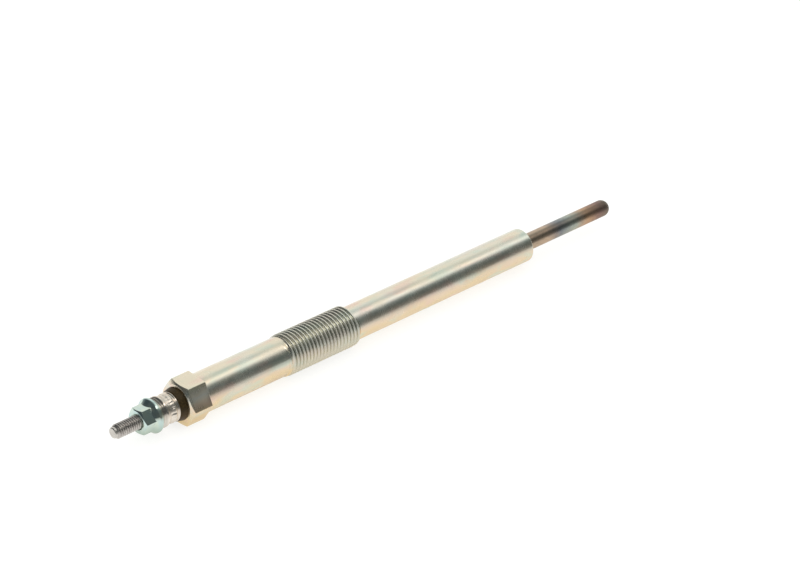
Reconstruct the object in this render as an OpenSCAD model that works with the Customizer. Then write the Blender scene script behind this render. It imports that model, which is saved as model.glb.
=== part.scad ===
// Diesel glow plug: a turned steel body with a hexagon and a threaded shank,
// a sheathed heater at one end and a screw terminal at the other.
// The axis lies along X with the heater tip towards +X, and the hexagon lies on a flat.
// The origin is on the axis at the sealing seat, where the lower shank ends.

/* [Terminal stud] */
// Major diameter of the stud's thread
stud_d = 4; // [3:0.5:5]
// Pitch of the stud's thread
stud_pitch = 0.7; // [0.5:0.05:0.8]
// Length of the stud beyond the nut
stud_free_len = 8.2; // [4:0.1:14]
// Length of the plain point at the end of the stud, with its cone
stud_point_len = 1.2; // [0.8:0.1:2]
// Chamfer on the end face of the point
stud_end_chamfer = 0.25; // [0.1:0.05:0.5]

/* [Terminal nut] */
// Width across the flats of the nut
nut_af = 7; // [6:0.1:8]
// Height of the nut's hexagon in front of the flange
nut_hex_h = 3; // [2:0.1:5]
// Height of the cone from the hexagon to the rim of the flange
nut_cone_h = 1.5; // [0.5:0.05:2]
// Thickness of the flange at its rim
nut_rim_h = 0.7; // [0.6:0.05:2]
// Diameter of the flange
nut_flange_d = 10; // [9:0.1:14]
// Diameter of the nut's flat front face inside the chamfer
nut_face_d = 6.3; // [6:0.1:7.5]
// Angle of the chamfer on the nut's corners, from the front face
nut_chamfer_angle = 30; // [15:1:40]
// Turn of the nut about the plug's axis, in degrees from the body's hexagon
nut_turn = 10; // [0:1:59]
// Depth of the countersink at each end of the nut's thread
nut_sink = 0.65; // [0.2:0.05:0.8]

/* [Terminal ring] */
// Length of the ring between the nut and the bush
ring_len = 6.5; // [5.5:0.1:9]
// Diameter of the plain collar under the nut
ring_collar_d = 8.9; // [7:0.1:10]
// Length of the plain collar
ring_collar_len = 2.9; // [1.5:0.1:3.5]
// Diameter of the crimped band and of the lip behind it
ring_band_d = 8.5; // [7:0.1:10]
// Length of the lip that meets the bush
ring_lip_len = 0.45; // [0.35:0.05:1]
// Width of the groove on each side of the band
ring_groove_w = 0.45; // [0.2:0.05:0.8]
// Depth of the grooves below the band
ring_groove_depth = 0.25; // [0.1:0.05:0.5]
// Chamfer on the edges of the collar, the band and the lip
ring_chamfer = 0.15; // [0.05:0.05:0.2]

/* [Insulating bush] */
// Diameter of the flange that shows in front of the hexagon
bush_flange_d = 9.6; // [8.5:0.1:10.5]
// Diameter of the flange at its front, where it meets the ring
bush_front_d = 8.7; // [8:0.1:9.5]
// Thickness of the flange
bush_flange_h = 2.1; // [1:0.1:4]
// Length of the neck inside the body
bush_neck_len = 3; // [1.5:0.1:6]
// Rounding chamfer on the flange
bush_chamfer = 0.2; // [0.1:0.05:0.5]
// Radial clearance of the bush on the pin and in the counterbore
bush_clear = 0.1; // [0.05:0.01:0.2]

/* [Hexagon] */
// Width across the flats of the body
hex_af = 12; // [11.5:0.1:14]
// Length of the hexagon along the axis
hex_h = 6.8; // [5:0.1:12]
// Diameter of the flat front face inside the chamfer
hex_face_d = 10.9; // [10.6:0.1:11.5]
// Angle of the chamfer on the corners, from the front face
hex_chamfer_angle = 30; // [15:1:40]

/* [Body] */
// Diameter of the upper shank, the blank that the thread is rolled on
upper_d = 11.2; // [10.5:0.1:12]
// Length of the upper shank between the hexagon and the thread
upper_len = 30; // [10:0.5:60]
// Major diameter of the body's thread
thread_d = 12; // [11:0.25:14]
// Length of the body's thread
thread_len = 24.5; // [12:0.5:40]
// Chamfer on both ends of the body's thread
thread_chamfer = 0.35; // [0.2:0.05:0.8]
// Diameter of the lower shank
lower_d = 10.1; // [9.5:0.1:11]
// Length of the lower shank, with the seat
lower_len = 70.7; // [30:0.5:100]
// Diameter of the small end of the seat's cone
seat_d = 8.4; // [7.5:0.1:9]
// Length of the seat's cone along the axis
seat_len = 0.9; // [0.4:0.1:3]
// Diameter of the long bore round the pin
bore_d = 7.2; // [6:0.1:7.4]
// Diameter of the counterbore for the bush and its seal
counterbore_d = 7.8; // [7.5:0.1:8.2]

/* [Heater] */
// Outer diameter of the sheath
sheath_d = 5; // [4.5:0.1:6]
// Wall of the sheath
sheath_wall = 0.5; // [0.4:0.05:0.8]
// Length of the sheath beyond the seat
heater_len = 35.8; // [28:0.1:60]
// Length of the sheath pressed into the body
press_len = 9; // [8:0.5:24]
// Length of the seal in the sheath's open end
sheath_seal_len = 3; // [1.5:0.1:5]
// Wall of that seal round the pin
sheath_seal_wall = 0.55; // [0.4:0.05:0.7]

/* [Inner pin] */
// Length of the thin part of the pin between its shoulder and the sheath's open end
pin_thin_len = 62; // [10:0.5:70]
// Length of the thin end of the pin inside the sheath, before the spigot
pin_tail_len = 12; // [6:0.5:14]
// Length of the spigot that the control coil is welded on
spigot_len = 3; // [1.5:0.1:5]

/* [Coils] */
// Diameter of the heating coil's wire
heating_wire_d = 0.4; // [0.3:0.05:0.5]
// Pitch of the heating coil
heating_pitch = 1.3; // [0.9:0.05:2]
// Length of the heating coil along the axis
heating_len = 14; // [8:0.5:16]
// Diameter of the control coil's wire
control_wire_d = 0.35; // [0.25:0.05:0.4]
// Pitch of the control coil
control_pitch = 1.1; // [0.8:0.05:2]
// Thickness of powder between the heating coil and the sheath
powder_wall = 0.3; // [0.2:0.05:0.4]
// Clearance between a coil and the powder or the spigot
coil_clear = 0.03; // [0.02:0.01:0.05]
// Distance from the heating coil's last turn to the centre of the sheath's round end
coil_end_gap = 1.2; // [0.8:0.1:3]

/* [Hidden] */
$fn = 96;
// How far a cutting shape reaches past the face it opens
cut = 1;
// Turn of a round wall's seam, which puts the middle of a facet undermost when the wall is meshed
seam_turn = 3.75;

// Stations along the axis, from the heater tip to the end of the stud
sheath_r = sheath_d / 2;
dome_x = heater_len - sheath_r;
thread_end_x = -lower_len;
thread_start_x = thread_end_x - thread_len;
hex_back_x = thread_start_x - upper_len;
hex_front_x = hex_back_x - hex_h;
bush_front_x = hex_front_x - bush_flange_h;
ring_front_x = bush_front_x - ring_len;
nut_front_x = ring_front_x - nut_hex_h - nut_cone_h - nut_rim_h;
stud_end_x = nut_front_x - stud_free_len;

// A rolled thread grows as far above its pitch diameter as it cuts below it, so the plain pin,
// the thread inside the nut and the bore of the ring all meet at the pitch diameter
thread_height_per_pitch = 0.6495;
root_depth_per_pitch = 1.2269;
pin_r = (stud_d - thread_height_per_pitch * stud_pitch) / 2;
stud_point_r = (stud_d - root_depth_per_pitch * stud_pitch) / 2;

// The seal under the bush fills the space between the pin and the counterbore
counterbore_r = counterbore_d / 2;
seal_section_r = (counterbore_r - pin_r) / 2;
neck_end_x = hex_front_x + bush_neck_len;
counterbore_end_x = neck_end_x + 2 * seal_section_r;

// Inside of the sheath
sheath_in_r = sheath_r - sheath_wall;
sheath_open_x = -press_len;
sheath_seal_end_x = sheath_open_x + sheath_seal_len;
pin_shoulder_x = sheath_open_x - pin_thin_len;
tail_r = sheath_in_r - sheath_seal_wall;
spigot_x = sheath_open_x + pin_tail_len;
spigot_end_x = spigot_x + spigot_len;

// Coils: flat-sided wire wound in chords, so the inside of a turn comes nearer to the axis
turn_steps = 12;
wire_sides = 6;
wire_r = max(heating_wire_d, control_wire_d) / 2;
coil_r = sheath_in_r - powder_wall - wire_r;
coil_in_r = (coil_r - wire_r) * cos(180 / turn_steps);
spigot_r = coil_in_r - coil_clear;
slot_in_r = coil_in_r - coil_clear;
slot_out_r = coil_r + wire_r + coil_clear;
control_start_x = spigot_x + control_wire_d / 2 + coil_clear;
heating_end_x = dome_x - coil_end_gap;
heating_start_x = heating_end_x - heating_len;
heating_turns = heating_len / heating_pitch;
control_turns = (heating_start_x - control_start_x) / control_pitch;
// The heating wire bends to run along the axis, and ends on the round end of the sheath
tail_bend_r = 0.5;
tail_bend_steps = 5;
tail_end_x = dome_x + sqrt(sheath_in_r * sheath_in_r - (coil_r + wire_r) * (coil_r + wire_r));
slot_end_x = heating_end_x + tail_bend_r + wire_r + coil_clear;
tail_angle = 360 * (control_turns + heating_turns) + tail_bend_r / coil_r * 180 / PI;

module on_axis() {
    rotate([90, 0, 90]) children();
}

// A body of revolution from a profile of [radius, station] points
module turned(profile) {
    on_axis() rotate(seam_turn) rotate_extrude() polygon(profile);
}

module rod(radius, from, to) {
    on_axis() translate([0, 0, from]) cylinder(r = radius, h = to - from);
}

module ball(radius, at) {
    translate([at, 0, 0]) sphere(r = radius);
}

// Six-sided prism along the axis with its front corners turned to a chamfer
module chamfered_hexagon(af, from, to, face_r, angle, turn) {
    corner_r = af / 2 / cos(30);
    intersection() {
        on_axis() translate([0, 0, from]) rotate(-turn)
            cylinder(r = corner_r, h = to - from, $fn = 6);
        turned([
            [0, from], [face_r, from],
            [corner_r + cut, from + (corner_r + cut - face_r) * tan(angle)],
            [corner_r + cut, to], [0, to]
        ]);
    }
}

// One ring of points on the coil's wire. The heading is the wire's direction on the unrolled
// coil: 0 along the turn, 90 along the axis.
function wire_ring(angle, x, heading, section_r) = [
    for (i = [0 : wire_sides - 1])
        let (
            a = i * 360 / wire_sides,
            out = coil_r + section_r * cos(a),
            side = section_r * sin(a),
            along = -side * sin(heading)
        )
        [
            x + side * cos(heading),
            out * cos(angle) - along * sin(angle),
            out * sin(angle) + along * cos(angle)
        ]
];

function helix_rings(start_angle, turns, start_x, pitch, section_r) =
    let (steps = ceil(turns * turn_steps))
    [
        for (i = [0 : steps])
            let (done = turns * i / steps)
            wire_ring(start_angle + 360 * done, start_x + pitch * done, 0, section_r)
    ];

// A closed tube through rings of points
module wire(rings) {
    last = len(rings) - 1;
    points = [for (ring = rings) each ring];
    sides = [
        for (i = [0 : last - 1], j = [0 : wire_sides - 1])
            let (
                here = i * wire_sides + j,
                beside = i * wire_sides + (j + 1) % wire_sides
            )
            [here, beside, beside + wire_sides, here + wire_sides]
    ];
    first_cap = [for (j = [wire_sides - 1 : -1 : 0]) j];
    last_cap = [for (j = [0 : wire_sides - 1]) last * wire_sides + j];
    polyhedron(points, concat(sides, [first_cap, last_cap]));
}

module plug_body() {
    upper_r = upper_d / 2;
    thread_r = thread_d / 2;
    lower_r = lower_d / 2;
    bore_r = bore_d / 2;
    drill_cone = abs(bore_r - sheath_r);
    color("#d8ccab") difference() {
        union() {
            chamfered_hexagon(hex_af, hex_front_x, hex_back_x, hex_face_d / 2, hex_chamfer_angle, 0);
            turned([
                [0, hex_front_x + hex_h / 2], [upper_r, hex_front_x + hex_h / 2],
                [upper_r, thread_start_x], [thread_r - thread_chamfer, thread_start_x],
                [thread_r, thread_start_x + thread_chamfer],
                [thread_r, thread_end_x - thread_chamfer],
                [thread_r - thread_chamfer, thread_end_x], [lower_r, thread_end_x],
                [lower_r, -seat_len], [seat_d / 2, 0], [0, 0]
            ]);
        }
        turned([
            [0, hex_front_x - cut], [counterbore_r, hex_front_x - cut],
            [counterbore_r, counterbore_end_x], [bore_r, counterbore_end_x],
            [bore_r, sheath_open_x - drill_cone], [sheath_r, sheath_open_x],
            [sheath_r, cut], [0, cut]
        ]);
    }
}

module heater_sheath() {
    color("#7c6b5f") difference() {
        union() {
            rod(sheath_r, sheath_open_x, dome_x);
            ball(sheath_r, dome_x);
        }
        rod(sheath_in_r, sheath_open_x - cut, dome_x);
        ball(sheath_in_r, dome_x);
    }
}

module centre_pin() {
    stud_r = stud_d / 2;
    color("#a8a29c") turned([
        [0, stud_end_x], [stud_point_r - stud_end_chamfer, stud_end_x],
        [stud_point_r, stud_end_x + stud_end_chamfer],
        [stud_point_r, stud_end_x + stud_point_len - (stud_r - stud_point_r)],
        [stud_r, stud_end_x + stud_point_len], [stud_r, nut_front_x],
        [pin_r, nut_front_x], [pin_r, pin_shoulder_x],
        [tail_r, pin_shoulder_x + abs(pin_r - tail_r)], [tail_r, spigot_x],
        [spigot_r, spigot_x], [spigot_r, spigot_end_x], [0, spigot_end_x]
    ]);
}

module terminal_nut() {
    rim_x = ring_front_x - nut_rim_h;
    flange_r = nut_flange_d / 2;
    sink_r = pin_r + nut_sink;
    color("#c3d3d0") difference() {
        union() {
            chamfered_hexagon(nut_af, nut_front_x, ring_front_x, nut_face_d / 2, nut_chamfer_angle, nut_turn);
            turned([
                [0, rim_x - nut_cone_h], [nut_af / 2, rim_x - nut_cone_h],
                [flange_r, rim_x], [flange_r, ring_front_x], [0, ring_front_x]
            ]);
        }
        turned([
            [0, nut_front_x - cut], [sink_r + cut, nut_front_x - cut],
            [pin_r, nut_front_x + nut_sink], [pin_r, ring_front_x - nut_sink],
            [sink_r + cut, ring_front_x + cut], [0, ring_front_x + cut]
        ]);
    }
}

module terminal_ring() {
    band_r = ring_band_d / 2;
    groove_r = band_r - ring_groove_depth;
    collar_end_x = ring_front_x + ring_collar_len;
    band_x = collar_end_x + ring_groove_w;
    lip_x = bush_front_x - ring_lip_len;
    band_end_x = lip_x - ring_groove_w;
    function land(radius, from, to) = [
        [radius - ring_chamfer, from], [radius, from + ring_chamfer],
        [radius, to - ring_chamfer], [radius - ring_chamfer, to]
    ];
    color("#cabdb2") turned(concat(
        [[pin_r, ring_front_x]],
        land(ring_collar_d / 2, ring_front_x, collar_end_x),
        [[groove_r, collar_end_x], [groove_r, band_x]],
        land(band_r, band_x, band_end_x),
        [[groove_r, band_end_x], [groove_r, lip_x]],
        land(band_r, lip_x, bush_front_x),
        [[pin_r, bush_front_x]]
    ));
}

module insulating_bush() {
    flange_r = bush_flange_d / 2;
    front_r = bush_front_d / 2;
    hole_r = pin_r + bush_clear;
    color("#2d2618") turned([
        [hole_r, bush_front_x], [front_r - bush_chamfer, bush_front_x],
        [front_r, bush_front_x + bush_chamfer], [flange_r, hex_front_x],
        [counterbore_r - bush_clear, hex_front_x], [counterbore_r - bush_clear, neck_end_x],
        [hole_r, neck_end_x]
    ]);
}

module body_seal() {
    color("#1c1c1e") on_axis() translate([0, 0, neck_end_x + seal_section_r])
        rotate_extrude() translate([pin_r + seal_section_r, 0]) circle(r = seal_section_r);
}

module sheath_seal() {
    color("#4a2a22") difference() {
        rod(sheath_in_r, sheath_open_x, sheath_seal_end_x);
        rod(tail_r, sheath_open_x - cut, sheath_seal_end_x + cut);
    }
}

module magnesia_filling() {
    color("#efebe2") difference() {
        union() {
            rod(sheath_in_r, sheath_seal_end_x, dome_x);
            ball(sheath_in_r, dome_x);
        }
        rod(tail_r, sheath_seal_end_x - cut, spigot_x + cut);
        difference() {
            rod(slot_out_r, spigot_x, slot_end_x);
            rod(slot_in_r, spigot_end_x, slot_end_x + cut);
        }
        rotate([tail_angle, 0, 0]) translate([0, coil_r, 0])
            rod(wire_r + coil_clear / 2, slot_end_x - cut, dome_x + sheath_in_r);
    }
}

module control_coil() {
    color("#b9bbbd") wire(helix_rings(0, control_turns, control_start_x, control_pitch, control_wire_d / 2));
}

module heating_coil() {
    section_r = heating_wire_d / 2;
    start_angle = 360 * control_turns;
    bend_start = start_angle + 360 * heating_turns;
    bend_rings = [
        for (i = [1 : tail_bend_steps])
            let (heading = 90 * i / tail_bend_steps)
            wire_ring(
                bend_start + tail_bend_r * sin(heading) / coil_r * 180 / PI,
                heating_end_x + tail_bend_r * (1 - cos(heading)), heading, section_r
            )
    ];
    color("#9fa3a6") wire(concat(
        helix_rings(start_angle, heating_turns, heating_start_x, heating_pitch, section_r),
        bend_rings,
        [wire_ring(tail_angle, tail_end_x, 90, section_r)]
    ));
}

plug_body();
heater_sheath();
centre_pin();
terminal_nut();
terminal_ring();
insulating_bush();
body_seal();
sheath_seal();
magnesia_filling();
control_coil();
heating_coil();
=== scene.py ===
# %% [markdown]
# # A diesel glow plug, dressed
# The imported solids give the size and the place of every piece. This lesson lays finer skins over
# the six pieces that show, gives all eleven pieces their finish, and lights them softly on white.

# %% Load the solids
import math
import bmesh
import bpy
import numpy as np
from mathutils import Matrix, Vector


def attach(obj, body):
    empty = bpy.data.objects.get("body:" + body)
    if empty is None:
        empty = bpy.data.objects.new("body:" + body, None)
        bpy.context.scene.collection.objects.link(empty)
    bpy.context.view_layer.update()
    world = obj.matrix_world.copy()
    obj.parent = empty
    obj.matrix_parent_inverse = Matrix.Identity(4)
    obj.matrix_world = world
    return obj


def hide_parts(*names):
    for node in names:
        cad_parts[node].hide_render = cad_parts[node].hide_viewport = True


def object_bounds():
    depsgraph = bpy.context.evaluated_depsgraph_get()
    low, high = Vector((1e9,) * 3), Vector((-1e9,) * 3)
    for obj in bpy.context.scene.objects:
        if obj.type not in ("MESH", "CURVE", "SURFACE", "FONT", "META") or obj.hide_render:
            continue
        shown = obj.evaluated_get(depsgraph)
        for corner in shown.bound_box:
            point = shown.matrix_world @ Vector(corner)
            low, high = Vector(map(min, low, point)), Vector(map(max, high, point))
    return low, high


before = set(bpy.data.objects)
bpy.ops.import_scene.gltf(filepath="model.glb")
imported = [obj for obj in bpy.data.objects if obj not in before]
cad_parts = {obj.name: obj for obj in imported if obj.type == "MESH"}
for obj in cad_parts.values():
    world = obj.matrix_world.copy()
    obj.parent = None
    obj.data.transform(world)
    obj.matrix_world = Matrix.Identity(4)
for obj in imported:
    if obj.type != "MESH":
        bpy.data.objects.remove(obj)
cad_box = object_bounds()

print("nodes:", sorted(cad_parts))

# %% [markdown]
# ## The camera
# The plug was photographed from a little above, over its terminal, with a long lens. A camera can be
# aimed by eye, or solved from edges of known size. Here the thread, the hexagon and the round tip
# were solved for, so the camera is written down as its place, two angles and a small roll.

# %% Camera
eye = np.array([-0.568787, -0.504962, 0.453095])
turn, climb, roll = (math.radians(angle) for angle in (-45.761, 31.746, 3.848))

back = np.array([math.sin(turn) * math.cos(climb), -math.cos(turn) * math.cos(climb), math.sin(climb)])
level = np.array([math.cos(turn), math.sin(turn), 0.0])
upright = np.cross(back, level)
right = level * math.cos(roll) + upright * math.sin(roll)
up = upright * math.cos(roll) - level * math.sin(roll)

pose = np.eye(4)
pose[:3] = np.stack([right, up, back, eye], axis=1)
lens = bpy.data.cameras.new("camera")
lens.sensor_width, lens.lens = 36.0, 136.2
camera = bpy.data.objects.new("camera", lens)
bpy.context.scene.collection.objects.link(camera)
camera.matrix_world = Matrix(pose.tolist())
bpy.context.scene.camera = camera
print("camera distance to the seat: %.3f m" % np.linalg.norm(eye))

# %% [markdown]
# ## Skins on a grid
# Nearly every piece here was turned on a lathe, so each skin is a grid: one parameter runs along a
# profile, the other goes round the axis. A modifier could spin a curve, but a grid also takes a
# hexagon or a screw thread, because the radius may change with the angle. Profiles are written in
# millimetres.

# %% Points and faces of a grid
MM = 0.001


def round_angles(count):
    """Equal steps round the axis, from +Y towards +Z."""
    return np.arange(count) * (2 * np.pi / count)


def row(angles, station, radius):
    """One corner of a profile at every angle; the station and the radius may differ between angles."""
    return np.stack(np.broadcast_arrays(station, radius, angles)[:2], axis=-1)


def lay_round(profile, angles):
    """Points from a profile of (station, radius): x is the station, y and z are the radius times the
    cosine and the sine of the angle. The profile may differ from angle to angle."""
    station, radius = profile[..., 0], profile[..., 1]
    if station.ndim == 1:
        station, radius = station[:, None], radius[:, None]
    station, radius, angle = np.broadcast_arrays(station, radius, angles[None, :])
    return np.stack([station, radius * np.cos(angle), radius * np.sin(angle)], axis=-1)


def woven(points, gain=0):
    """A grid of points with its quads, closed round the axis. On a screw each row comes back to the
    seam `gain` rows further on."""
    rows, count = points.shape[:2]
    i, j = np.meshgrid(np.arange(rows - 1), np.arange(count), indexing="ij")
    at_seam = j == count - 1
    beside = np.where(at_seam, 0, j + 1)
    here = np.minimum(i + gain * at_seam, rows - 1)
    ahead = np.minimum(i + 1 + gain * at_seam, rows - 1)
    quads = [i * count + j, here * count + beside, ahead * count + beside, (i + 1) * count + j]
    return points, np.stack(quads, axis=-1).reshape(-1, 4)


print("a ring of six points, in degrees:", np.degrees(round_angles(6)).round())


# %% Rounded corners
def ease(corners, reach, steps=4):
    """Round the inner corners of a profile. A corner gives way to a parabola that leaves the one side
    and joins the other `reach` millimetres away, so the tool marks keep a soft edge. The reach stays
    under half of the shorter side, so that neighbouring curves don't meet."""
    first, last = corners[:1], corners[-1:]
    before, here, after = corners[:-2], corners[1:-1], corners[2:]
    to_before, to_after = before - here, after - here
    length_before = np.linalg.norm(to_before, axis=-1, keepdims=True)
    length_after = np.linalg.norm(to_after, axis=-1, keepdims=True)
    reach = np.asarray(reach, float).reshape(-1, *[1] * (corners.ndim - 1))
    reach = np.minimum(reach, 0.45 * np.minimum(length_before, length_after))
    start = here + to_before / length_before * reach
    end = here + to_after / length_after * reach
    t = np.linspace(0, 1, steps + 1).reshape(1, -1, *[1] * (corners.ndim - 1))
    curve = (1 - t) ** 2 * start[:, None] + 2 * t * (1 - t) * here[:, None] + t ** 2 * end[:, None]
    return np.concatenate([first, curve.reshape(-1, *corners.shape[1:]), last])


right_angle = np.array([(0.0, 0.0), (1.0, 0.0), (1.0, 1.0)])
print("a right angle eased by 0.2:", ease(right_angle, [0.2]).round(2).tolist())

# %% From grids to a skin
crease_angle = math.radians(40)
merge_reach, sliver_reach = 2e-7, 1e-8


def make_skin(name, node, parts):
    """Join grids of (points, faces), merge their shared rings and poles, and let the skin stand for
    a node of the solids."""
    starts = np.cumsum([0] + [points.reshape(-1, 3).shape[0] for points, _ in parts])
    points = np.concatenate([points.reshape(-1, 3) for points, _ in parts]) * MM
    faces = np.concatenate([faces + start for (_, faces), start in zip(parts, starts)])
    mesh = bpy.data.meshes.new(name)
    mesh.from_pydata(points, [], faces.tolist())
    shape = bmesh.new()
    shape.from_mesh(mesh)
    bmesh.ops.remove_doubles(shape, verts=shape.verts, dist=merge_reach)
    bmesh.ops.dissolve_degenerate(shape, edges=shape.edges, dist=sliver_reach)
    open_edges = sum(not edge.is_manifold for edge in shape.edges)
    volume = shape.calc_volume(signed=True) / MM ** 3
    shape.to_mesh(mesh)
    shape.free()
    mesh.shade_smooth()
    mesh.set_sharp_from_angle(angle=crease_angle)
    skin = bpy.data.objects.new(name, mesh)
    bpy.context.scene.collection.objects.link(skin)
    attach(skin, "root")
    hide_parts(node)
    print("%s: %d faces, %d open edges, %.1f mm3" % (name, len(mesh.polygons), open_edges, volume))
    return skin


# %% [markdown]
# ## The body
# The body is one bar of steel: a 12 mm hexagon, a plain shank, a rolled M12 thread and a long lower
# shank that ends in a small sealing cone. A hexagon could be cut from a cylinder with a boolean,
# but then its edges are knife sharp. As a radius that depends on the angle it keeps rounded corners,
# and the turned chamfer meets each flat in the curved line that real hexagons have.

# %% Stations of the body, in millimetres from the seat
hex_front, hex_back = -132.0, -125.2
thread_start, thread_end = -95.2, -70.7
run_in_x = thread_start - 1.5
hex_flat, hex_face_r, hex_corner_r = 6.0, 5.45, 0.4
upper_r, lower_r, thread_r = 5.6, 5.05, 6.0
seat_r, seat_len = 4.2, 0.9
sheath_r, bore_r, counterbore_r = 2.5, 3.6, 3.9
sheath_open, counterbore_end = -9.0, -126.873

# %% Hexagon
chamfer_slope = math.tan(math.radians(30))


def corner_angles(turn=0.0):
    """Angles round the axis that crowd at the six corners of a hexagon."""
    half = np.concatenate([[0, 0.45, 0.9, 1.4, 2.0], np.linspace(3.2, 30, 11)])
    sector = np.concatenate([-half[:0:-1], half[:-1]])
    return np.radians((np.arange(6)[:, None] * 60 + sector[None, :]).ravel() + turn)


def hexagon_radius(angles, flat, corner, turn=0.0):
    """Distance from the axis to a rounded hexagon: the flat's distance over the cosine of the angle
    from its middle, or, next to a corner, a circle that touches both flats."""
    half_sector = math.radians(30)
    off = np.radians(np.abs((np.degrees(angles) - turn + 30) % 60 - 30))
    tip = flat / math.cos(half_sector)
    middle = tip - corner / math.cos(half_sector)
    touch = math.atan2(corner / 2, tip - corner / 2 * math.tan(half_sector))
    straight = flat / np.cos(half_sector - off)
    rounded = middle * np.cos(off) + np.sqrt(np.maximum(corner ** 2 - (middle * np.sin(off)) ** 2, 0))
    return np.where(off < touch, rounded, straight)


body_angles = corner_angles()
hex_r = hexagon_radius(body_angles, hex_flat, hex_corner_r)
hex_corners = np.stack([
    row(body_angles, hex_front, counterbore_r),
    row(body_angles, hex_front, hex_face_r),
    row(body_angles, hex_front + (hex_r - hex_face_r) * chamfer_slope, hex_r),
    row(body_angles, hex_back, hex_r),
    row(body_angles, hex_back, upper_r),
    row(body_angles, run_in_x, upper_r),
])
hex_part = lay_round(ease(hex_corners, [0.05, 0.14, 0.16, 0.12]), body_angles)
print("hexagon across corners: %.2f mm" % (2 * hex_r.max()))

# %% [markdown]
# ## The rolled thread
# A thread can be faked with bump, drawn as rings, or swept along a helix. Here the grid itself is
# sheared: each row climbs one pitch in one turn, so the crests run along grid lines and stay crisp.
# The rows are held at both ends of the thread, where they gather into rings. Rolling dies press the
# first turn only part of the way, so it rises out of the shank on one side, and on that side the last
# turn runs out a little further.


# %% A sheared grid
def ridge_profile(land, crest, root):
    """Half of a 60 degree ridge in parts of the pitch, as (distance from its middle, drop): a flat land,
    an arc down from it, a straight flank and an arc into the root, each tangent to the next."""
    lean = np.radians(np.linspace(0, 60, 4))
    run = 0.5 - land - (crest + root) * math.sin(lean[-1])
    depth = (crest + root) * (1 - math.cos(lean[-1])) + run * math.tan(lean[-1])
    crest_arc = np.stack([land + crest * np.sin(lean), crest * (1 - np.cos(lean))])
    root_arc = np.stack([0.5 - root * np.sin(lean), depth - root * (1 - np.cos(lean))])
    return np.concatenate([[[0.0], [0.0]], crest_arc, root_arc[:, ::-1]], axis=1)


ridge_at, ridge_drop = ridge_profile(land=0.06, crest=0.09, root=0.1)


def part_turn(angles):
    """The part of a turn that each angle has made since the first one."""
    return (angles - angles[0])[None, :] / (2 * np.pi)


def screw_grid(start, end, pitch, angles):
    """Stations of a sheared grid: whole turns, plus the row's place on the ridge, plus the part of a
    turn that the angle has made, all times the pitch, and held between the two ends."""
    places = np.concatenate([ridge_at, 1 - ridge_at[-2:0:-1]])
    turns = int(math.ceil((np.max(end) - start) / pitch)) + 1
    rows = (np.arange(turns)[:, None] + places[None, :]).ravel()
    rows = np.append(rows, turns)[:, None]
    return np.clip(start + pitch * (rows - 1 + part_turn(angles)), start, end), len(places)


def ridge_radius(station, start, pitch, crest, angles):
    """Radius of the thread: the crest less the drop at this distance from the middle of the ridge."""
    place = ((station - start) / pitch - part_turn(angles)) % 1
    return crest - pitch * np.interp(np.minimum(place, 1 - place), ridge_at, ridge_drop)


print("a ridge is %.3f of the pitch deep" % ridge_drop[-1])

# %% Thread
pitch = 1.25
run_out, first_press = 0.55, 0.55
end_r = thread_r - 0.35


def smooth(value, low, high):
    """0 below low, 1 above high, and an S-shaped rise between."""
    t = np.clip((value - low) / (high - low), 0, 1)
    return t * t * (3 - 2 * t)


around = np.degrees(body_angles)
run_out_side = smooth(around, 115, 145) - smooth(around, 180, 215)
first_turn_side = smooth(around, 95, 135) - smooth(around, 290, 325)
thread_stop = thread_end + run_out * run_out_side
thread_x, thread_gain = screw_grid(run_in_x, thread_stop, pitch, body_angles)
thread_height = ridge_radius(thread_x, run_in_x, pitch, thread_r, body_angles)
first_turn = first_press * first_turn_side[None, :] * smooth(thread_x, run_in_x, run_in_x + 0.3)
pressed = np.maximum(first_turn, smooth(thread_x, thread_start - 0.1, thread_start + 0.3))
thread_height = upper_r + (thread_height - upper_r) * pressed
thread_height = np.minimum(thread_height, end_r + thread_stop - thread_x)
thread_part = lay_round(np.stack([thread_x, thread_height], -1), body_angles)
print("thread: %.1f turns, %d rows" % ((thread_end - run_in_x) / pitch, thread_x.shape[0]))

# %% Lower shank, seat and bore
thread_rim = np.stack([thread_stop, thread_height[-1]], -1)
shank_corners = np.array([
    (thread_end, lower_r), (-seat_len, lower_r), (0, seat_r), (0, sheath_r),
    (sheath_open, sheath_r), (sheath_open - bore_r + sheath_r, bore_r),
    (counterbore_end, bore_r), (counterbore_end, counterbore_r), (hex_front, counterbore_r),
])
shank_profile = ease(shank_corners, [0.14, 0.16, 0.1, 0.1, 0.1, 0.1, 0.1], 3)
shank_profile = np.repeat(shank_profile[:, None], len(body_angles), axis=1)
shank_profile[0, :, 0] = thread_stop
shank_part = lay_round(np.concatenate([thread_rim[None], shank_profile]), body_angles)
body = make_skin("body_skin", "plug_body", [
    woven(hex_part), woven(thread_part, thread_gain), woven(shank_part),
])

# %% [markdown]
# ## The terminal: pin and stud
# One steel pin runs through the whole plug. Its free end is the M4 stud, rolled like the body's
# thread, with a short plain point that helps a nut to start. The same sheared grid makes it.

# %% Stations of the terminal
stud_end, nut_front, ring_front, bush_front = -154.0, -145.8, -140.6, -134.1
pin_r, stud_r, point_r, stud_pitch = 1.7727, 2.0, 1.5706, 0.7
tail_r, spigot_r = 1.45, 1.226
shoulder_x, spigot_x, spigot_end = -71.0, 3.0, 6.0
cone_start = stud_end + 1.2 - (stud_r - point_r)
thread_mouth = nut_front + 0.4
print("the stud stands %.1f mm out of the nut" % (nut_front - stud_end))

# %% Pin
pin_angles = round_angles(72)
point_edge = 0.25
point_corners = np.array([
    (stud_end + 0.16, 0.0), (stud_end + 0.12, 0.55), (stud_end, 0.95), (stud_end, point_r - point_edge),
    (stud_end + point_edge, point_r), (cone_start, point_r),
])
point_part = lay_round(ease(point_corners, [0.2, 0.15, 0.1, 0.1], 3), pin_angles)

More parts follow.
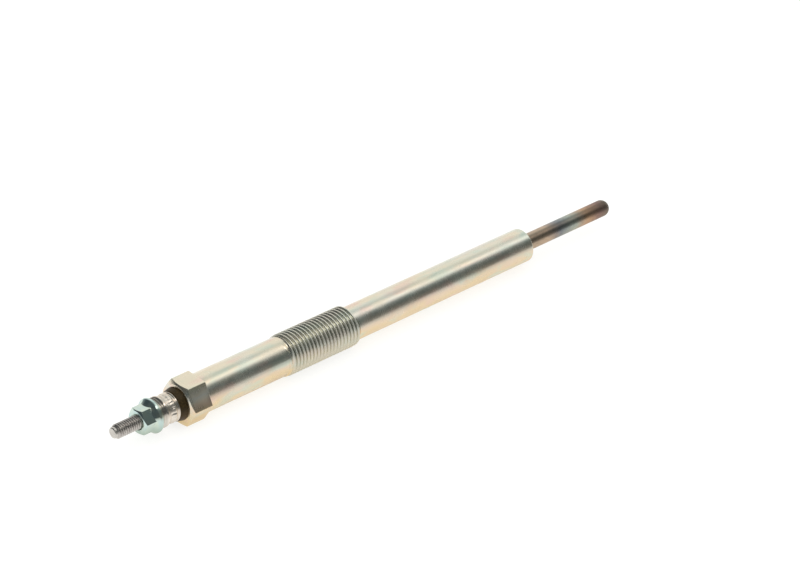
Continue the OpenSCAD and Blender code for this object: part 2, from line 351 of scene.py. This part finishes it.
stud_x, stud_gain = screw_grid(cone_start, thread_mouth, stud_pitch, pin_angles)
stud_height = ridge_radius(stud_x, cone_start, stud_pitch, stud_r, pin_angles)
stud_height = np.minimum(stud_height, point_r + stud_x - cone_start)
stud_height = stud_height + (pin_r - stud_height) * smooth(stud_x, nut_front + 0.05, thread_mouth)
stud_part = lay_round(np.stack([stud_x, stud_height], -1), pin_angles)

rod_corners = np.array([
    (thread_mouth, pin_r), (shoulder_x, pin_r), (shoulder_x + pin_r - tail_r, tail_r),
    (spigot_x, tail_r), (spigot_x, spigot_r), (spigot_end, spigot_r), (spigot_end, 0.0),
])
rod_part = lay_round(ease(rod_corners, [0.1, 0.1, 0.05, 0.05, 0.15], 3), pin_angles)
pin = make_skin("pin_skin", "centre_pin", [
    woven(point_part), woven(stud_part, stud_gain), woven(rod_part),
])

# %% [markdown]
# ## The terminal nut
# A flange nut: a small hexagon that runs out into a coned flange. Where the cone cuts the flats, the
# line rises to each corner. Solving the cone for the hexagon's own radius gives that line directly.

# %% Nut
nut_turn = -10.0
nut_flat, nut_face_r, nut_corner_r, flange_r = 3.5, 3.15, 0.22, 5.0
rim_x, cone_x = ring_front - 0.7, ring_front - 2.2
cone_slope = (rim_x - cone_x) / (flange_r - nut_flat)
sink = 0.65
sink_r = pin_r + sink
nut_angles = corner_angles(nut_turn)
nut_r = hexagon_radius(nut_angles, nut_flat, nut_corner_r, nut_turn)
nut_corners = np.stack([
    row(nut_angles, nut_front + sink, pin_r),
    row(nut_angles, nut_front, sink_r),
    row(nut_angles, nut_front, nut_face_r),
    row(nut_angles, nut_front + (nut_r - nut_face_r) * chamfer_slope, nut_r),
    row(nut_angles, cone_x + (nut_r - nut_flat) * cone_slope, nut_r),
    row(nut_angles, rim_x, flange_r),
    row(nut_angles, ring_front, flange_r),
    row(nut_angles, ring_front, sink_r),
    row(nut_angles, ring_front - sink, pin_r),
    row(nut_angles, nut_front + sink, pin_r),
])
nut_part = lay_round(ease(nut_corners, [0.05, 0.1, 0.1, 0.16, 0.3, 0.18, 0.05, 0.05]), nut_angles)
nut = make_skin("nut_skin", "terminal_nut", [woven(nut_part)])

# %% [markdown]
# ## The terminal ring
# Under the nut sits a nickel-plated ring: a collar with fine turned lines and a round bead, a band that
# was crimped, and a thin lip at the bush. Each round edge takes one small bright spot from the lamp, so
# the profile is drawn with its beads, and shallow dents round the band break the reflection.

# %% Profile of the ring
collar_r, band_r, groove_r = 4.45, 4.25, 4.0
wall_r, edge_r, edge = collar_r - 0.03, collar_r - 0.04, 0.15
line_marks, line_depth, line_half = (0.42, 1.02, 1.62), 0.24, 0.24
collar_end, lip_x = ring_front + 2.9, bush_front - 0.45
groove_w = 0.45
band_x, band_end = collar_end + groove_w, lip_x - groove_w
collar_bead_x, band_bead_x = ring_front + 2.0, band_x + 0.85


def scored(start, marks, radius, depth, half):
    """Corners of a wall with V-shaped lines: at each mark the wall goes in by the depth and out."""
    offsets = np.array([(-half, 0.0), (0.0, -depth), (half, 0.0)])
    return np.concatenate([np.array([start + mark, radius]) + offsets for mark in marks])


def bead(start, end, radius, drop, rows=9):
    """A rounded land: the radius falls with the square of the distance from its middle."""
    off = np.linspace(-1, 1, rows)
    return np.stack([start + (off + 1) / 2 * (end - start), radius - drop * off ** 2], -1)


ring_corners = np.concatenate([
    [(ring_front, pin_r), (ring_front, collar_r - edge), (ring_front + edge, edge_r)],
    scored(ring_front, line_marks, wall_r, line_depth, line_half),
    bead(collar_bead_x, collar_end, collar_r, 0.24),
    [(collar_end, groove_r), (band_x, groove_r), (band_x, groove_r + 0.05)],
    bead(band_bead_x, band_end, band_r, 0.22, 13),
    [(band_end, groove_r), (lip_x, groove_r)],
    bead(lip_x, bush_front, band_r, 0.12),
    [(bush_front, pin_r), (ring_front, pin_r)],
])
print("corners in the ring's profile:", len(ring_corners))

# %% Crimp of the ring
dents, dent_most = 17, 0.2
dent_middle, dent_half = band_x + 1.25, 0.75


def dent_depth(station, angle):
    """Depth of the crimp: a row of ovals round the band, each a little different from the next."""
    along = np.clip(1 - ((station - dent_middle) / dent_half) ** 2, 0, 1)
    across = np.clip(np.cos(dents * angle + 0.35 * np.sin(3 * angle)), 0, 1)
    return dent_most * along * across * (0.7 + 0.3 * np.sin(5 * angle))


ring_angles = round_angles(320)
ring_points = np.repeat(ring_corners[:, None], len(ring_angles), axis=1)
ring_x, ring_r = ring_points[..., 0], ring_points[..., 1]
on_band = (ring_x > band_x) & (ring_x < band_end) & (ring_r > groove_r)
ring_points[..., 1] -= np.where(on_band, dent_depth(ring_x, ring_angles[None, :]), 0)
ring_part = lay_round(ring_points, ring_angles)
ring = make_skin("ring_skin", "terminal_ring", [woven(ring_part)])

# %% [markdown]
# ## The insulating bush
# A dark moulded bush keeps the live ring off the body. Only its flange shows, as a short dark cone in
# front of the hexagon; its neck reaches into the counterbore. It is a plain turned profile, and only
# its edges are eased as a mould would leave them.

# %% Bush
bush_angles = round_angles(120)
bush_play = 0.1
hole_r, neck_r, neck_end = pin_r + bush_play, counterbore_r - bush_play, -129.0
front_bush_r, flange_bush_r = 4.35, 4.8
bush_corners = np.array([
    (neck_end, hole_r), (bush_front, hole_r), (bush_front, front_bush_r), (hex_front, flange_bush_r),
    (hex_front, neck_r), (neck_end, neck_r), (neck_end, hole_r),
])
bush_part = lay_round(ease(bush_corners, [0.1, 0.25, 0.08, 0.05, 0.2]), bush_angles)
bush = make_skin("bush_skin", "insulating_bush", [woven(bush_part)])

# %% [markdown]
# ## The heater sheath
# The heater is a thin alloy tube, closed by a round end and filled with powder round two coils. A
# capped cylinder would pinch at the tip, so the skin is one profile: from the inner pole of the round
# end back to the open end, over its edge, and along the outside to the outer pole.

# %% Sheath
dome_x, sheath_in, mouth_edge = 33.3, 2.0, 0.1
sheath_angles = round_angles(96)
quarter = np.linspace(0, np.pi / 2, 17)
inner_dome = np.stack([dome_x + sheath_in * np.cos(quarter), sheath_in * np.sin(quarter)], -1)
outer_dome = np.stack([dome_x + sheath_r * np.sin(quarter), sheath_r * np.cos(quarter)], -1)
tube_x = np.linspace(sheath_open + mouth_edge, dome_x, 60)[:-1]
tube = np.stack([tube_x, np.full_like(tube_x, sheath_r)], -1)
mouth_rows = np.array([(sheath_open, sheath_in), (sheath_open, sheath_r - mouth_edge)])
sheath_part = lay_round(np.concatenate([inner_dome, mouth_rows, tube, outer_dome]), sheath_angles)
sheath = make_skin("sheath_skin", "heater_sheath", [woven(sheath_part)])

# %% [markdown]
# ## Finishes
# Each finish is a small graph of nodes on Object coordinates, so the pattern is fixed to the metal in
# metres. A few helpers keep the graphs short: one adds a node, one makes noise, one blends colours.
# Places along and around the plug are still written in millimetres.


# %% Colours
def tone(code):
    """A colour written as six hexadecimal digits, in the linear values that Blender's sockets take."""
    srgb = np.array([int(code[i:i + 2], 16) for i in (0, 2, 4)]) / 255
    linear = np.where(srgb <= 0.04045, srgb / 12.92, ((srgb + 0.055) / 1.055) ** 2.4)
    return (*linear.tolist(), 1.0)


print("middle grey in linear values: %.3f" % tone("808080")[0])


# %% A graph of nodes
class Graph:
    """A node tree under construction."""

    def __init__(self, tree):
        self.tree = tree

    def add(self, kind, **inputs):
        """Add a node; an input may be a value or another node's output. Numbered inputs start with i."""
        node = self.tree.nodes.new(kind)
        for key, value in inputs.items():
            numbered = key[0] == "i" and key[1:].isdigit()
            self.plug(node.inputs[int(key[1:]) if numbered else key], value)
        return node

    def plug(self, socket, value):
        """Link an output to a socket, or set the socket to a value."""
        if isinstance(value, bpy.types.NodeSocket):
            self.tree.links.new(value, socket)
        else:
            socket.default_value = value

    def noise(self, vector, scale, detail=2.0, rough=0.5):
        """Cloudy noise between about 0.2 and 0.8."""
        node = self.add("ShaderNodeTexNoise", Vector=vector, Scale=scale, Detail=detail, Roughness=rough)
        return node.outputs["Fac"]

    def ramp(self, value, *stops):
        """Colours at stops along a value, given as (place, colour code or linear values)."""
        node = self.add("ShaderNodeValToRGB", Fac=value)
        points = node.color_ramp.elements
        while len(points) < len(stops):
            points.new(0.5)
        for point, (where, code) in zip(points, stops):
            point.position = where
            point.color = tone(code) if isinstance(code, str) else (*code, 1.0)
        return node.outputs["Color"]

    def span(self, value, low, high, to_low, to_high):
        """Carry a value from one range to another, held at both ends."""
        node = self.add("ShaderNodeMapRange", Value=value, i1=low, i2=high, i3=to_low, i4=to_high)
        return node.outputs["Result"]

    def span_mm(self, value, low, high, to_low, to_high):
        """The same for a length in metres whose range is written in millimetres."""
        return self.span(value, low * MM, high * MM, to_low, to_high)

    def between(self, value, rise, fall):
        """1 between two places and 0 outside, fading in over the first pair of millimetres and out
        over the second."""
        fade_in = self.span_mm(value, *rise, 0.0, 1.0)
        fade_out = self.span_mm(value, *fall, 1.0, 0.0)
        return self.sums("MULTIPLY", fade_in, fade_out)

    def sums(self, operation, a, b):
        """One sum of two values."""
        node = self.add("ShaderNodeMath", i0=a, i1=b)
        node.operation = operation
        return node.outputs["Value"]

    def blend(self, amount, a, b, mode="MIX"):
        """Colour a with this amount of colour b over it."""
        node = self.add("ShaderNodeMix")
        node.data_type, node.blend_type = "RGBA", mode
        self.plug(node.inputs[0], amount)
        self.plug(node.inputs[6], a)
        self.plug(node.inputs[7], b)
        return node.outputs[2]

    def split(self, vector):
        """The three parts of a vector."""
        return self.add("ShaderNodeSeparateXYZ", Vector=vector).outputs[:3]


# %% A finish
bump_height = 0.1 * MM


class Finish(Graph):
    """A material under construction: its node tree, its shader and the place on the piece."""

    def __init__(self, name, metal):
        self.material = bpy.data.materials.new(name)
        self.material.use_nodes = True
        super().__init__(self.material.node_tree)
        self.shader = self.tree.nodes["Principled BSDF"]
        self.shader.inputs["Metallic"].default_value = metal
        self.place = self.add("ShaderNodeTexCoord").outputs["Object"]
        self.x, self.y, self.z = self.split(self.place)

    def stretch(self, x, y, z):
        """Object coordinates times a number for each axis."""
        node = self.add("ShaderNodeMapping", Vector=self.place)
        node.inputs["Scale"].default_value = (x, y, z)
        return node.outputs["Vector"]

    def from_axis(self):
        """Distance from the plug's axis: the length of the position with its x taken away."""
        flat = self.add("ShaderNodeVectorMath", i0=self.place, i1=(0.0, 1.0, 1.0))
        flat.operation = "MULTIPLY"
        length = self.add("ShaderNodeVectorMath", i0=flat.outputs["Vector"])
        length.operation = "LENGTH"
        return length.outputs["Value"]

    def bumps(self, height, strength):
        """Tiny hills and hollows that only the light feels."""
        node = self.add("ShaderNodeBump", Height=height, Strength=strength, Distance=bump_height)
        self.plug(self.shader.inputs["Normal"], node.outputs["Normal"])

    def wear(self, colour, rough):
        """Give the shader its colour and its roughness."""
        self.plug(self.shader.inputs["Base Color"], colour)
        self.plug(self.shader.inputs["Roughness"], rough)

    def coat(self, *pieces):
        """Put the material on pieces, in place of any other."""
        for piece in pieces:
            piece.data.materials.clear()
            piece.data.materials.append(self.material)
        print("finish", self.material.name, "on", [piece.name for piece in pieces])


# %% [markdown]
# ## Yellow zinc on the body
# Zinc plate with a thin chromate film shows straw, rose and green. A rainbow texture would be far too
# strong, so pale tints follow the height, noise lets their borders wander, and a few patches of rose
# and green lie over them. The straw along the underside is a painted reflection of warm light from
# below, laid over the film's own tints. The rolled thread is greyer, with painted shade in its roots
# and matt crests, and the flats of the hexagon are dull in the middle.

# %% Film on the body
zinc = Finish("zinc_straw", 1.0)
drift = zinc.noise(zinc.stretch(60, 160, 160), 1.0, 3.0, 0.6)
height = zinc.sums("ADD", zinc.z, zinc.span(drift, 0.25, 0.75, -1.6 * MM, 1.6 * MM))
# Tints by height: the film's own rose and green, and in the straw of the underside a painted reflection of
# warm light from below.
film = zinc.ramp(
    zinc.span_mm(height, -hex_flat, hex_flat, 0.0, 1.0),
    (0.12, "f0d6a4"), (0.4, "f2dbb4"), (0.56, "f1dcc4"), (0.68, "ece3d2"), (0.8, "e6e6dc"), (0.95, "f0e6d0"))
patches = zinc.noise(zinc.stretch(110, 300, 300), 1.0, 2.0)
film = zinc.blend(zinc.span(patches, 0.54, 0.68, 0.0, 0.5), film, tone("f2d2c6"))
film = zinc.blend(zinc.span(patches, 0.46, 0.32, 0.0, 0.5), film, tone("d2e4d6"))
on_thread = zinc.between(
    zinc.x, (thread_start - 0.3, thread_start + 0.4), (thread_end - 0.1, thread_end + 0.1))
film = zinc.blend(zinc.sums("MULTIPLY", on_thread, 0.6), film, tone("e0e2d6"))
zinc_radius = zinc.from_axis()
# Painted shade: the colour goes darker towards the roots of the thread.
painted_root_shade = zinc.span_mm(zinc_radius, thread_r - 0.7, thread_r - 0.1, 0.5, 0.0)
film = zinc.blend(zinc.sums("MULTIPLY", on_thread, painted_root_shade), film, tone("94968a"))
print("nodes in the film:", len(zinc.tree.nodes))

# %% Gloss of the body
crest_dull, crest_metal, flat_dull = 0.14, 0.75, 0.12
rings = zinc.noise(zinc.stretch(5200, 60, 60), 1.0, 2.0)
haze = zinc.noise(zinc.stretch(170, 260, 260), 1.0, 2.0)
dull = zinc.sums("ADD", zinc.span(rings, 0.3, 0.7, 0.0, 0.05), zinc.span(haze, 0.4, 0.7, 0.19, 0.3))
on_hexagon = zinc.between(zinc.x, (hex_front + 0.6, hex_front + 1.6), (hex_back - 1.0, hex_back - 0.2))
mid_flat = zinc.span_mm(zinc_radius, hex_flat, hex_flat + 0.5, flat_dull, 0.0)
mid_flat = zinc.sums("MULTIPLY", on_hexagon, mid_flat)
crests = zinc.span_mm(zinc_radius, thread_r - 0.25, thread_r - 0.08, 0.0, crest_dull)
crests = zinc.sums("MULTIPLY", on_thread, crests)
zinc.wear(film, zinc.sums("ADD", dull, zinc.sums("ADD", mid_flat, crests)))
zinc.plug(zinc.shader.inputs["Metallic"], zinc.span(crests, 0.0, crest_dull, 1.0, crest_metal))
zinc.bumps(rings, 0.015)
zinc.coat(body)

# %% [markdown]
# ## Blue zinc on the nut
# The nut is zinc plated too, but its film is clear and faintly blue. One flat colour would do from far
# away. Clouds of blue and green, a fine grain in the gloss and a greyer underside make it look plated.

# %% Nut finish
blue_zinc = Finish("zinc_blue", 1.0)
clouds = blue_zinc.noise(blue_zinc.place, 420.0, 3.0)
film = blue_zinc.ramp(clouds, (0.3, "bfd9dc"), (0.5, "d5e8e2"), (0.7, "e3eddd"))
film = blue_zinc.blend(blue_zinc.span_mm(blue_zinc.z, 1.0, -nut_flat, 0.0, 1.0), film, tone("b4c4b4"))
grain = blue_zinc.noise(blue_zinc.place, 5000.0, 2.0)
blue_zinc.wear(film, blue_zinc.span(grain, 0.3, 0.7, 0.1, 0.18))
blue_zinc.bumps(grain, 0.02)
blue_zinc.coat(nut)

# %% [markdown]
# ## Nickel on the ring
# Nickel is warmer than zinc. The turned lines next to the nut are a little greyer, and the crimping
# tool left the band duller. The finest turning marks could be modelled, but noise that is squeezed
# along the axis gives them to the gloss and the bump at no cost.

# %% Ring finish
nickel = Finish("nickel_rose", 1.0)
clouds = nickel.noise(nickel.place, 500.0, 3.0)
film = nickel.ramp(clouds, (0.3, "e2d6c8"), (0.5, "efe5d8"), (0.7, "f5eee3"))
turned = nickel.span_mm(nickel.x, ring_front + 1.7, ring_front + 2.4, 0.5, 0.0)
film = nickel.blend(turned, film, tone("c2beb6"))
lines = nickel.noise(nickel.stretch(9000, 200, 200), 1.0, 2.0)
band = nickel.between(nickel.x, (collar_end + 0.1, band_x + 0.05), (band_end - 0.2, band_end + 0.1))
band = nickel.sums("MULTIPLY", band, 0.12)
nickel.wear(film, nickel.sums("ADD", nickel.span(lines, 0.3, 0.7, 0.12, 0.22), band))
nickel.bumps(lines, 0.04)
nickel.coat(ring)

# %% [markdown]
# ## Bare steel on the pin
# The pin has no plating. Its thread roots are given painted shade, and the turned point is brighter.
# Painting these by hand would tie them to one view, so the colour follows the distance from the axis
# and the station.

# %% Stud and pin finish
steel = Finish("steel_rolled", 1.0)
clouds = steel.noise(steel.place, 600.0, 3.0)
film = steel.ramp(clouds, (0.3, "bcb7b3"), (0.5, "d0cac5"), (0.7, "ddd8d2"))
# Painted shade: the colour goes darker towards the roots of the stud's thread.
painted_root_shade = steel.span_mm(steel.from_axis(), stud_r - 0.4, stud_r - 0.02, 0.4, 0.0)
film = steel.blend(painted_root_shade, film, tone("8c8784"))
point_shine = steel.span_mm(steel.x, stud_end + 0.5, stud_end + 1.1, 0.5, 0.0)
film = steel.blend(point_shine, film, tone("f6f2ea"))
grain = steel.noise(steel.stretch(4000, 1500, 1500), 1.0, 2.0)
steel.wear(film, steel.span(grain, 0.3, 0.7, 0.34, 0.46))
steel.bumps(grain, 0.04)
steel.coat(pin)

# %% [markdown]
# ## Moulded resin on the bush
# The bush is pressed from a brown resin with fibre in it. One dark colour would look like paint, so
# small flecks change the colour and the gloss together, and the underside is painted a lighter brown
# for the light bounced up from the floor.

# %% Bush finish
phenolic = Finish("phenolic_brown", 0.0)
phenolic.shader.inputs["Specular IOR Level"].default_value = 0.22
flecks = phenolic.noise(phenolic.place, 2600.0, 3.0, 0.6)
film = phenolic.ramp(flecks, (0.35, "2a2008"), (0.55, "382b0f"), (0.75, "4c3d1c"))
# Painted light: the underside turns a lighter brown, for light bounced up from the floor.
film = phenolic.blend(phenolic.span_mm(phenolic.z, 1.0, -4.0, 0.0, 0.75), film, tone("6e5433"))
phenolic.wear(film, phenolic.span(flecks, 0.3, 0.7, 0.32, 0.5))
phenolic.bumps(flecks, 0.08)
phenolic.coat(bush)

# %% [markdown]
# ## Heat tints on the sheath
# The heater was run once in its test, and the hot end kept oxide colours: straw near the body, then
# steel blue, grey-green, copper and a violet brown at the tip. Oxide colours follow the temperature,
# so they are stops along the axis, bent a little by noise. A painted shade streak darkens the upper
# side where the lamp's highlight would fall, and the underside is tinted warmer as a painted
# reflection of warm light from below.

# %% Sheath finish
tints = Finish("alloy_heat_tint", 1.0)
wander = tints.noise(tints.stretch(180, 420, 420), 1.0, 3.0)
along = tints.sums("ADD", tints.x, tints.span(wander, 0.2, 0.8, -1.4 * MM, 1.4 * MM))
film = tints.ramp(
    tints.span_mm(along, sheath_open, dome_x + sheath_r, 0.0, 1.0),
    (0.2, "bfad98"), (0.3, "bfab96"), (0.39, "c6b09a"), (0.45, "a3978f"), (0.51, "8a8f95"),
    (0.63, "b2bab0"), (0.7, "b5a797"), (0.76, "c4a283"), (0.88, "957a72"), (0.97, "857c70"))
# Painted reflection: the lower side is tinted warmer, for warm light from below.
painted_warm_reflection = (1.0, 0.92, 0.8, 1.0)
film = tints.blend(tints.span_mm(tints.z, -1.2, 1.0, 1.0, 0.0), film, painted_warm_reflection, "MULTIPLY")
# Painted shade: a dark streak along the upper side, where the lamp's highlight would otherwise lie.
upper_side = tints.sums("ADD", tints.sums("MULTIPLY", tints.y, -0.5), tints.sums("MULTIPLY", tints.z, 0.87))
painted_shade_streak = tints.span_mm(upper_side, sheath_r - 0.3, sheath_r, 0.0, 0.62)
film = tints.blend(painted_shade_streak, film, tone("5a5148"))
flecks = tints.noise(tints.stretch(900, 2500, 2500), 1.0, 3.0)
film = tints.blend(tints.span(flecks, 0.5, 0.8, 0.0, 0.3), film, tone("5f564d"))
burnt = tints.span_mm(tints.x, 24.0, 34.0, 0.0, 0.16)
tints.wear(film, tints.sums("ADD", tints.span(flecks, 0.3, 0.7, 0.26, 0.38), burnt))
tints.bumps(flecks, 0.04)
tints.coat(sheath)

# %% [markdown]
# ## What lies inside
# Seals, powder and coils are hidden in the whole plug, but someone may take it apart. They could be
# left grey. Instead their solids keep their shape and get a finish of their own: black rubber, white
# powder and drawn wire.

# %% Inner finishes
rubber = Finish("rubber_black", 0.0)
dust = rubber.noise(rubber.place, 3000.0, 3.0)
film = rubber.ramp(dust, (0.35, "151516"), (0.7, "2a2928"))
rubber.wear(film, rubber.span(dust, 0.3, 0.7, 0.52, 0.74))
rubber.bumps(dust, 0.15)
rubber.coat(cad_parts["body_seal"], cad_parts["sheath_seal"])

powder = Finish("magnesia_white", 0.0)
grains = powder.noise(powder.place, 4200.0, 4.0, 0.7)
film = powder.ramp(grains, (0.3, "dcd6c8"), (0.6, "f1ede4"))
powder.wear(film, powder.span(grains, 0.3, 0.7, 0.75, 0.95))
powder.bumps(grains, 0.3)
powder.coat(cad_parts["magnesia_filling"])

wire = Finish("wire_drawn", 1.0)
draw = wire.noise(wire.place, 3500.0, 3.0)
film = wire.ramp(draw, (0.3, "8d8f92"), (0.6, "b8babd"), (0.8, "a89c8c"))
wire.wear(film, wire.span(draw, 0.3, 0.7, 0.28, 0.42))
wire.bumps(draw, 0.08)
wire.coat(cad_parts["control_coil"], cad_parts["heating_coil"])

# %% [markdown]
# ## Floor and light
# Bright metal is only as light or dark as what it mirrors. The plug lies in a long tent of white paper:
# one lamp runs along it overhead, the back wall glows, and the side towards the camera is open and dark.
# Lamps on stands would do, but a world that looks different to mirrored rays is easier to shape: what
# it shows depends on the angle about the plug's axis. Towards the terminal the walls end and only the
# lamp is left, and straight beyond that end it is dark. The floor is white to the eye, and still takes
# the soft shadow.

# %% Floor
floor_z = cad_box[0].z
side = 4.0
floor_corners = [(a * side, b * side, floor_z) for a, b in ((-1, -1), (1, -1), (1, 1), (-1, 1))]
floor_mesh = bpy.data.meshes.new("floor")
floor_mesh.from_pydata(floor_corners, [], [(0, 1, 2, 3)])
floor = bpy.data.objects.new("floor", floor_mesh)
bpy.context.scene.collection.objects.link(floor)

paper_lift = 0.75
paper = Finish("paper_white", 0.0)
paper.wear((0.38, 0.38, 0.37, 1.0), 0.9)
paper.shader.inputs["Specular IOR Level"].default_value = 0.0
paper.shader.inputs["Emission Color"].default_value = (1.0, 1.0, 0.99, 1.0)
seen = paper.add("ShaderNodeLightPath").outputs
mirrored = paper.span_mm(paper.y, -60.0, -8.0, 0.2, 0.62)
mirrored = paper.sums("MULTIPLY", seen["Is Glossy Ray"], mirrored)
direct = paper.sums("MAXIMUM", seen["Is Camera Ray"], seen["Is Transmission Ray"])
lift = paper.sums("ADD", mirrored, paper.sums("MULTIPLY", direct, paper_lift))
paper.plug(paper.shader.inputs["Emission Strength"], lift)
paper.coat(floor)
print("floor at z = %.4f m" % floor_z)

# %% Room
room = bpy.data.worlds.new("room")
bpy.context.scene.world = room
room.use_nodes = True
tent = Graph(room.node_tree)
x, y, z = tent.split(tent.add("ShaderNodeTexCoord").outputs["Generated"])
about_axis = tent.sums("ARCTAN2", z, tent.sums("MULTIPLY", y, -1.0))
half_turn = tent.span(about_axis, 0.0, math.pi, 0.0, 1.0)
paper_light = tent.ramp(
    half_turn,
    (0.02, (0.2, 0.2, 0.19)), (0.1, (0.13, 0.135, 0.125)), (0.17, (0.095, 0.108, 0.105)),
    (0.23, (0.11, 0.125, 0.12)), (0.29, (0.17, 0.19, 0.185)), (0.33, (0.3, 0.32, 0.32)),
    (0.37, (0.68, 0.69, 0.68)), (0.405, (1.08, 1.06, 1.02)), (0.45, (1.2, 1.15, 1.09)),
    (0.49, (1.05, 1.0, 0.95)), (0.54, (0.68, 0.71, 0.69)), (0.61, (0.6, 0.66, 0.66)),
    (0.69, (0.82, 0.86, 0.85)), (0.77, (0.92, 0.91, 0.88)), (0.9, (0.88, 0.86, 0.82)))
dark_end = (0.06, 0.07, 0.075)
lamp_only = tent.ramp(
    half_turn,
    (0.1, (0.13, 0.14, 0.14)), (0.3, (0.1, 0.11, 0.11)), (0.35, (0.2, 0.2, 0.2)),
    (0.38, (3.4, 3.35, 3.2)), (0.415, (3.2, 3.15, 3.0)), (0.46, (0.2, 0.21, 0.21)), (0.75, dark_end))
mirrored = tent.blend(tent.span(x, -0.3, 0.3, 1.0, 0.0), paper_light, lamp_only)
mirrored = tent.blend(tent.span(x, -0.7, -0.5, 1.0, 0.0), mirrored, (*dark_end, 1.0))
white = (1.0, 1.0, 1.0, 1.0)
seen = tent.add("ShaderNodeLightPath").outputs
sky = tent.blend(seen["Is Glossy Ray"], white, mirrored)
tent.plug(room.node_tree.nodes["Background"].inputs["Color"], sky)
bpy.context.scene.view_settings.view_transform = "Standard"
print("world nodes:", len(room.node_tree.nodes))
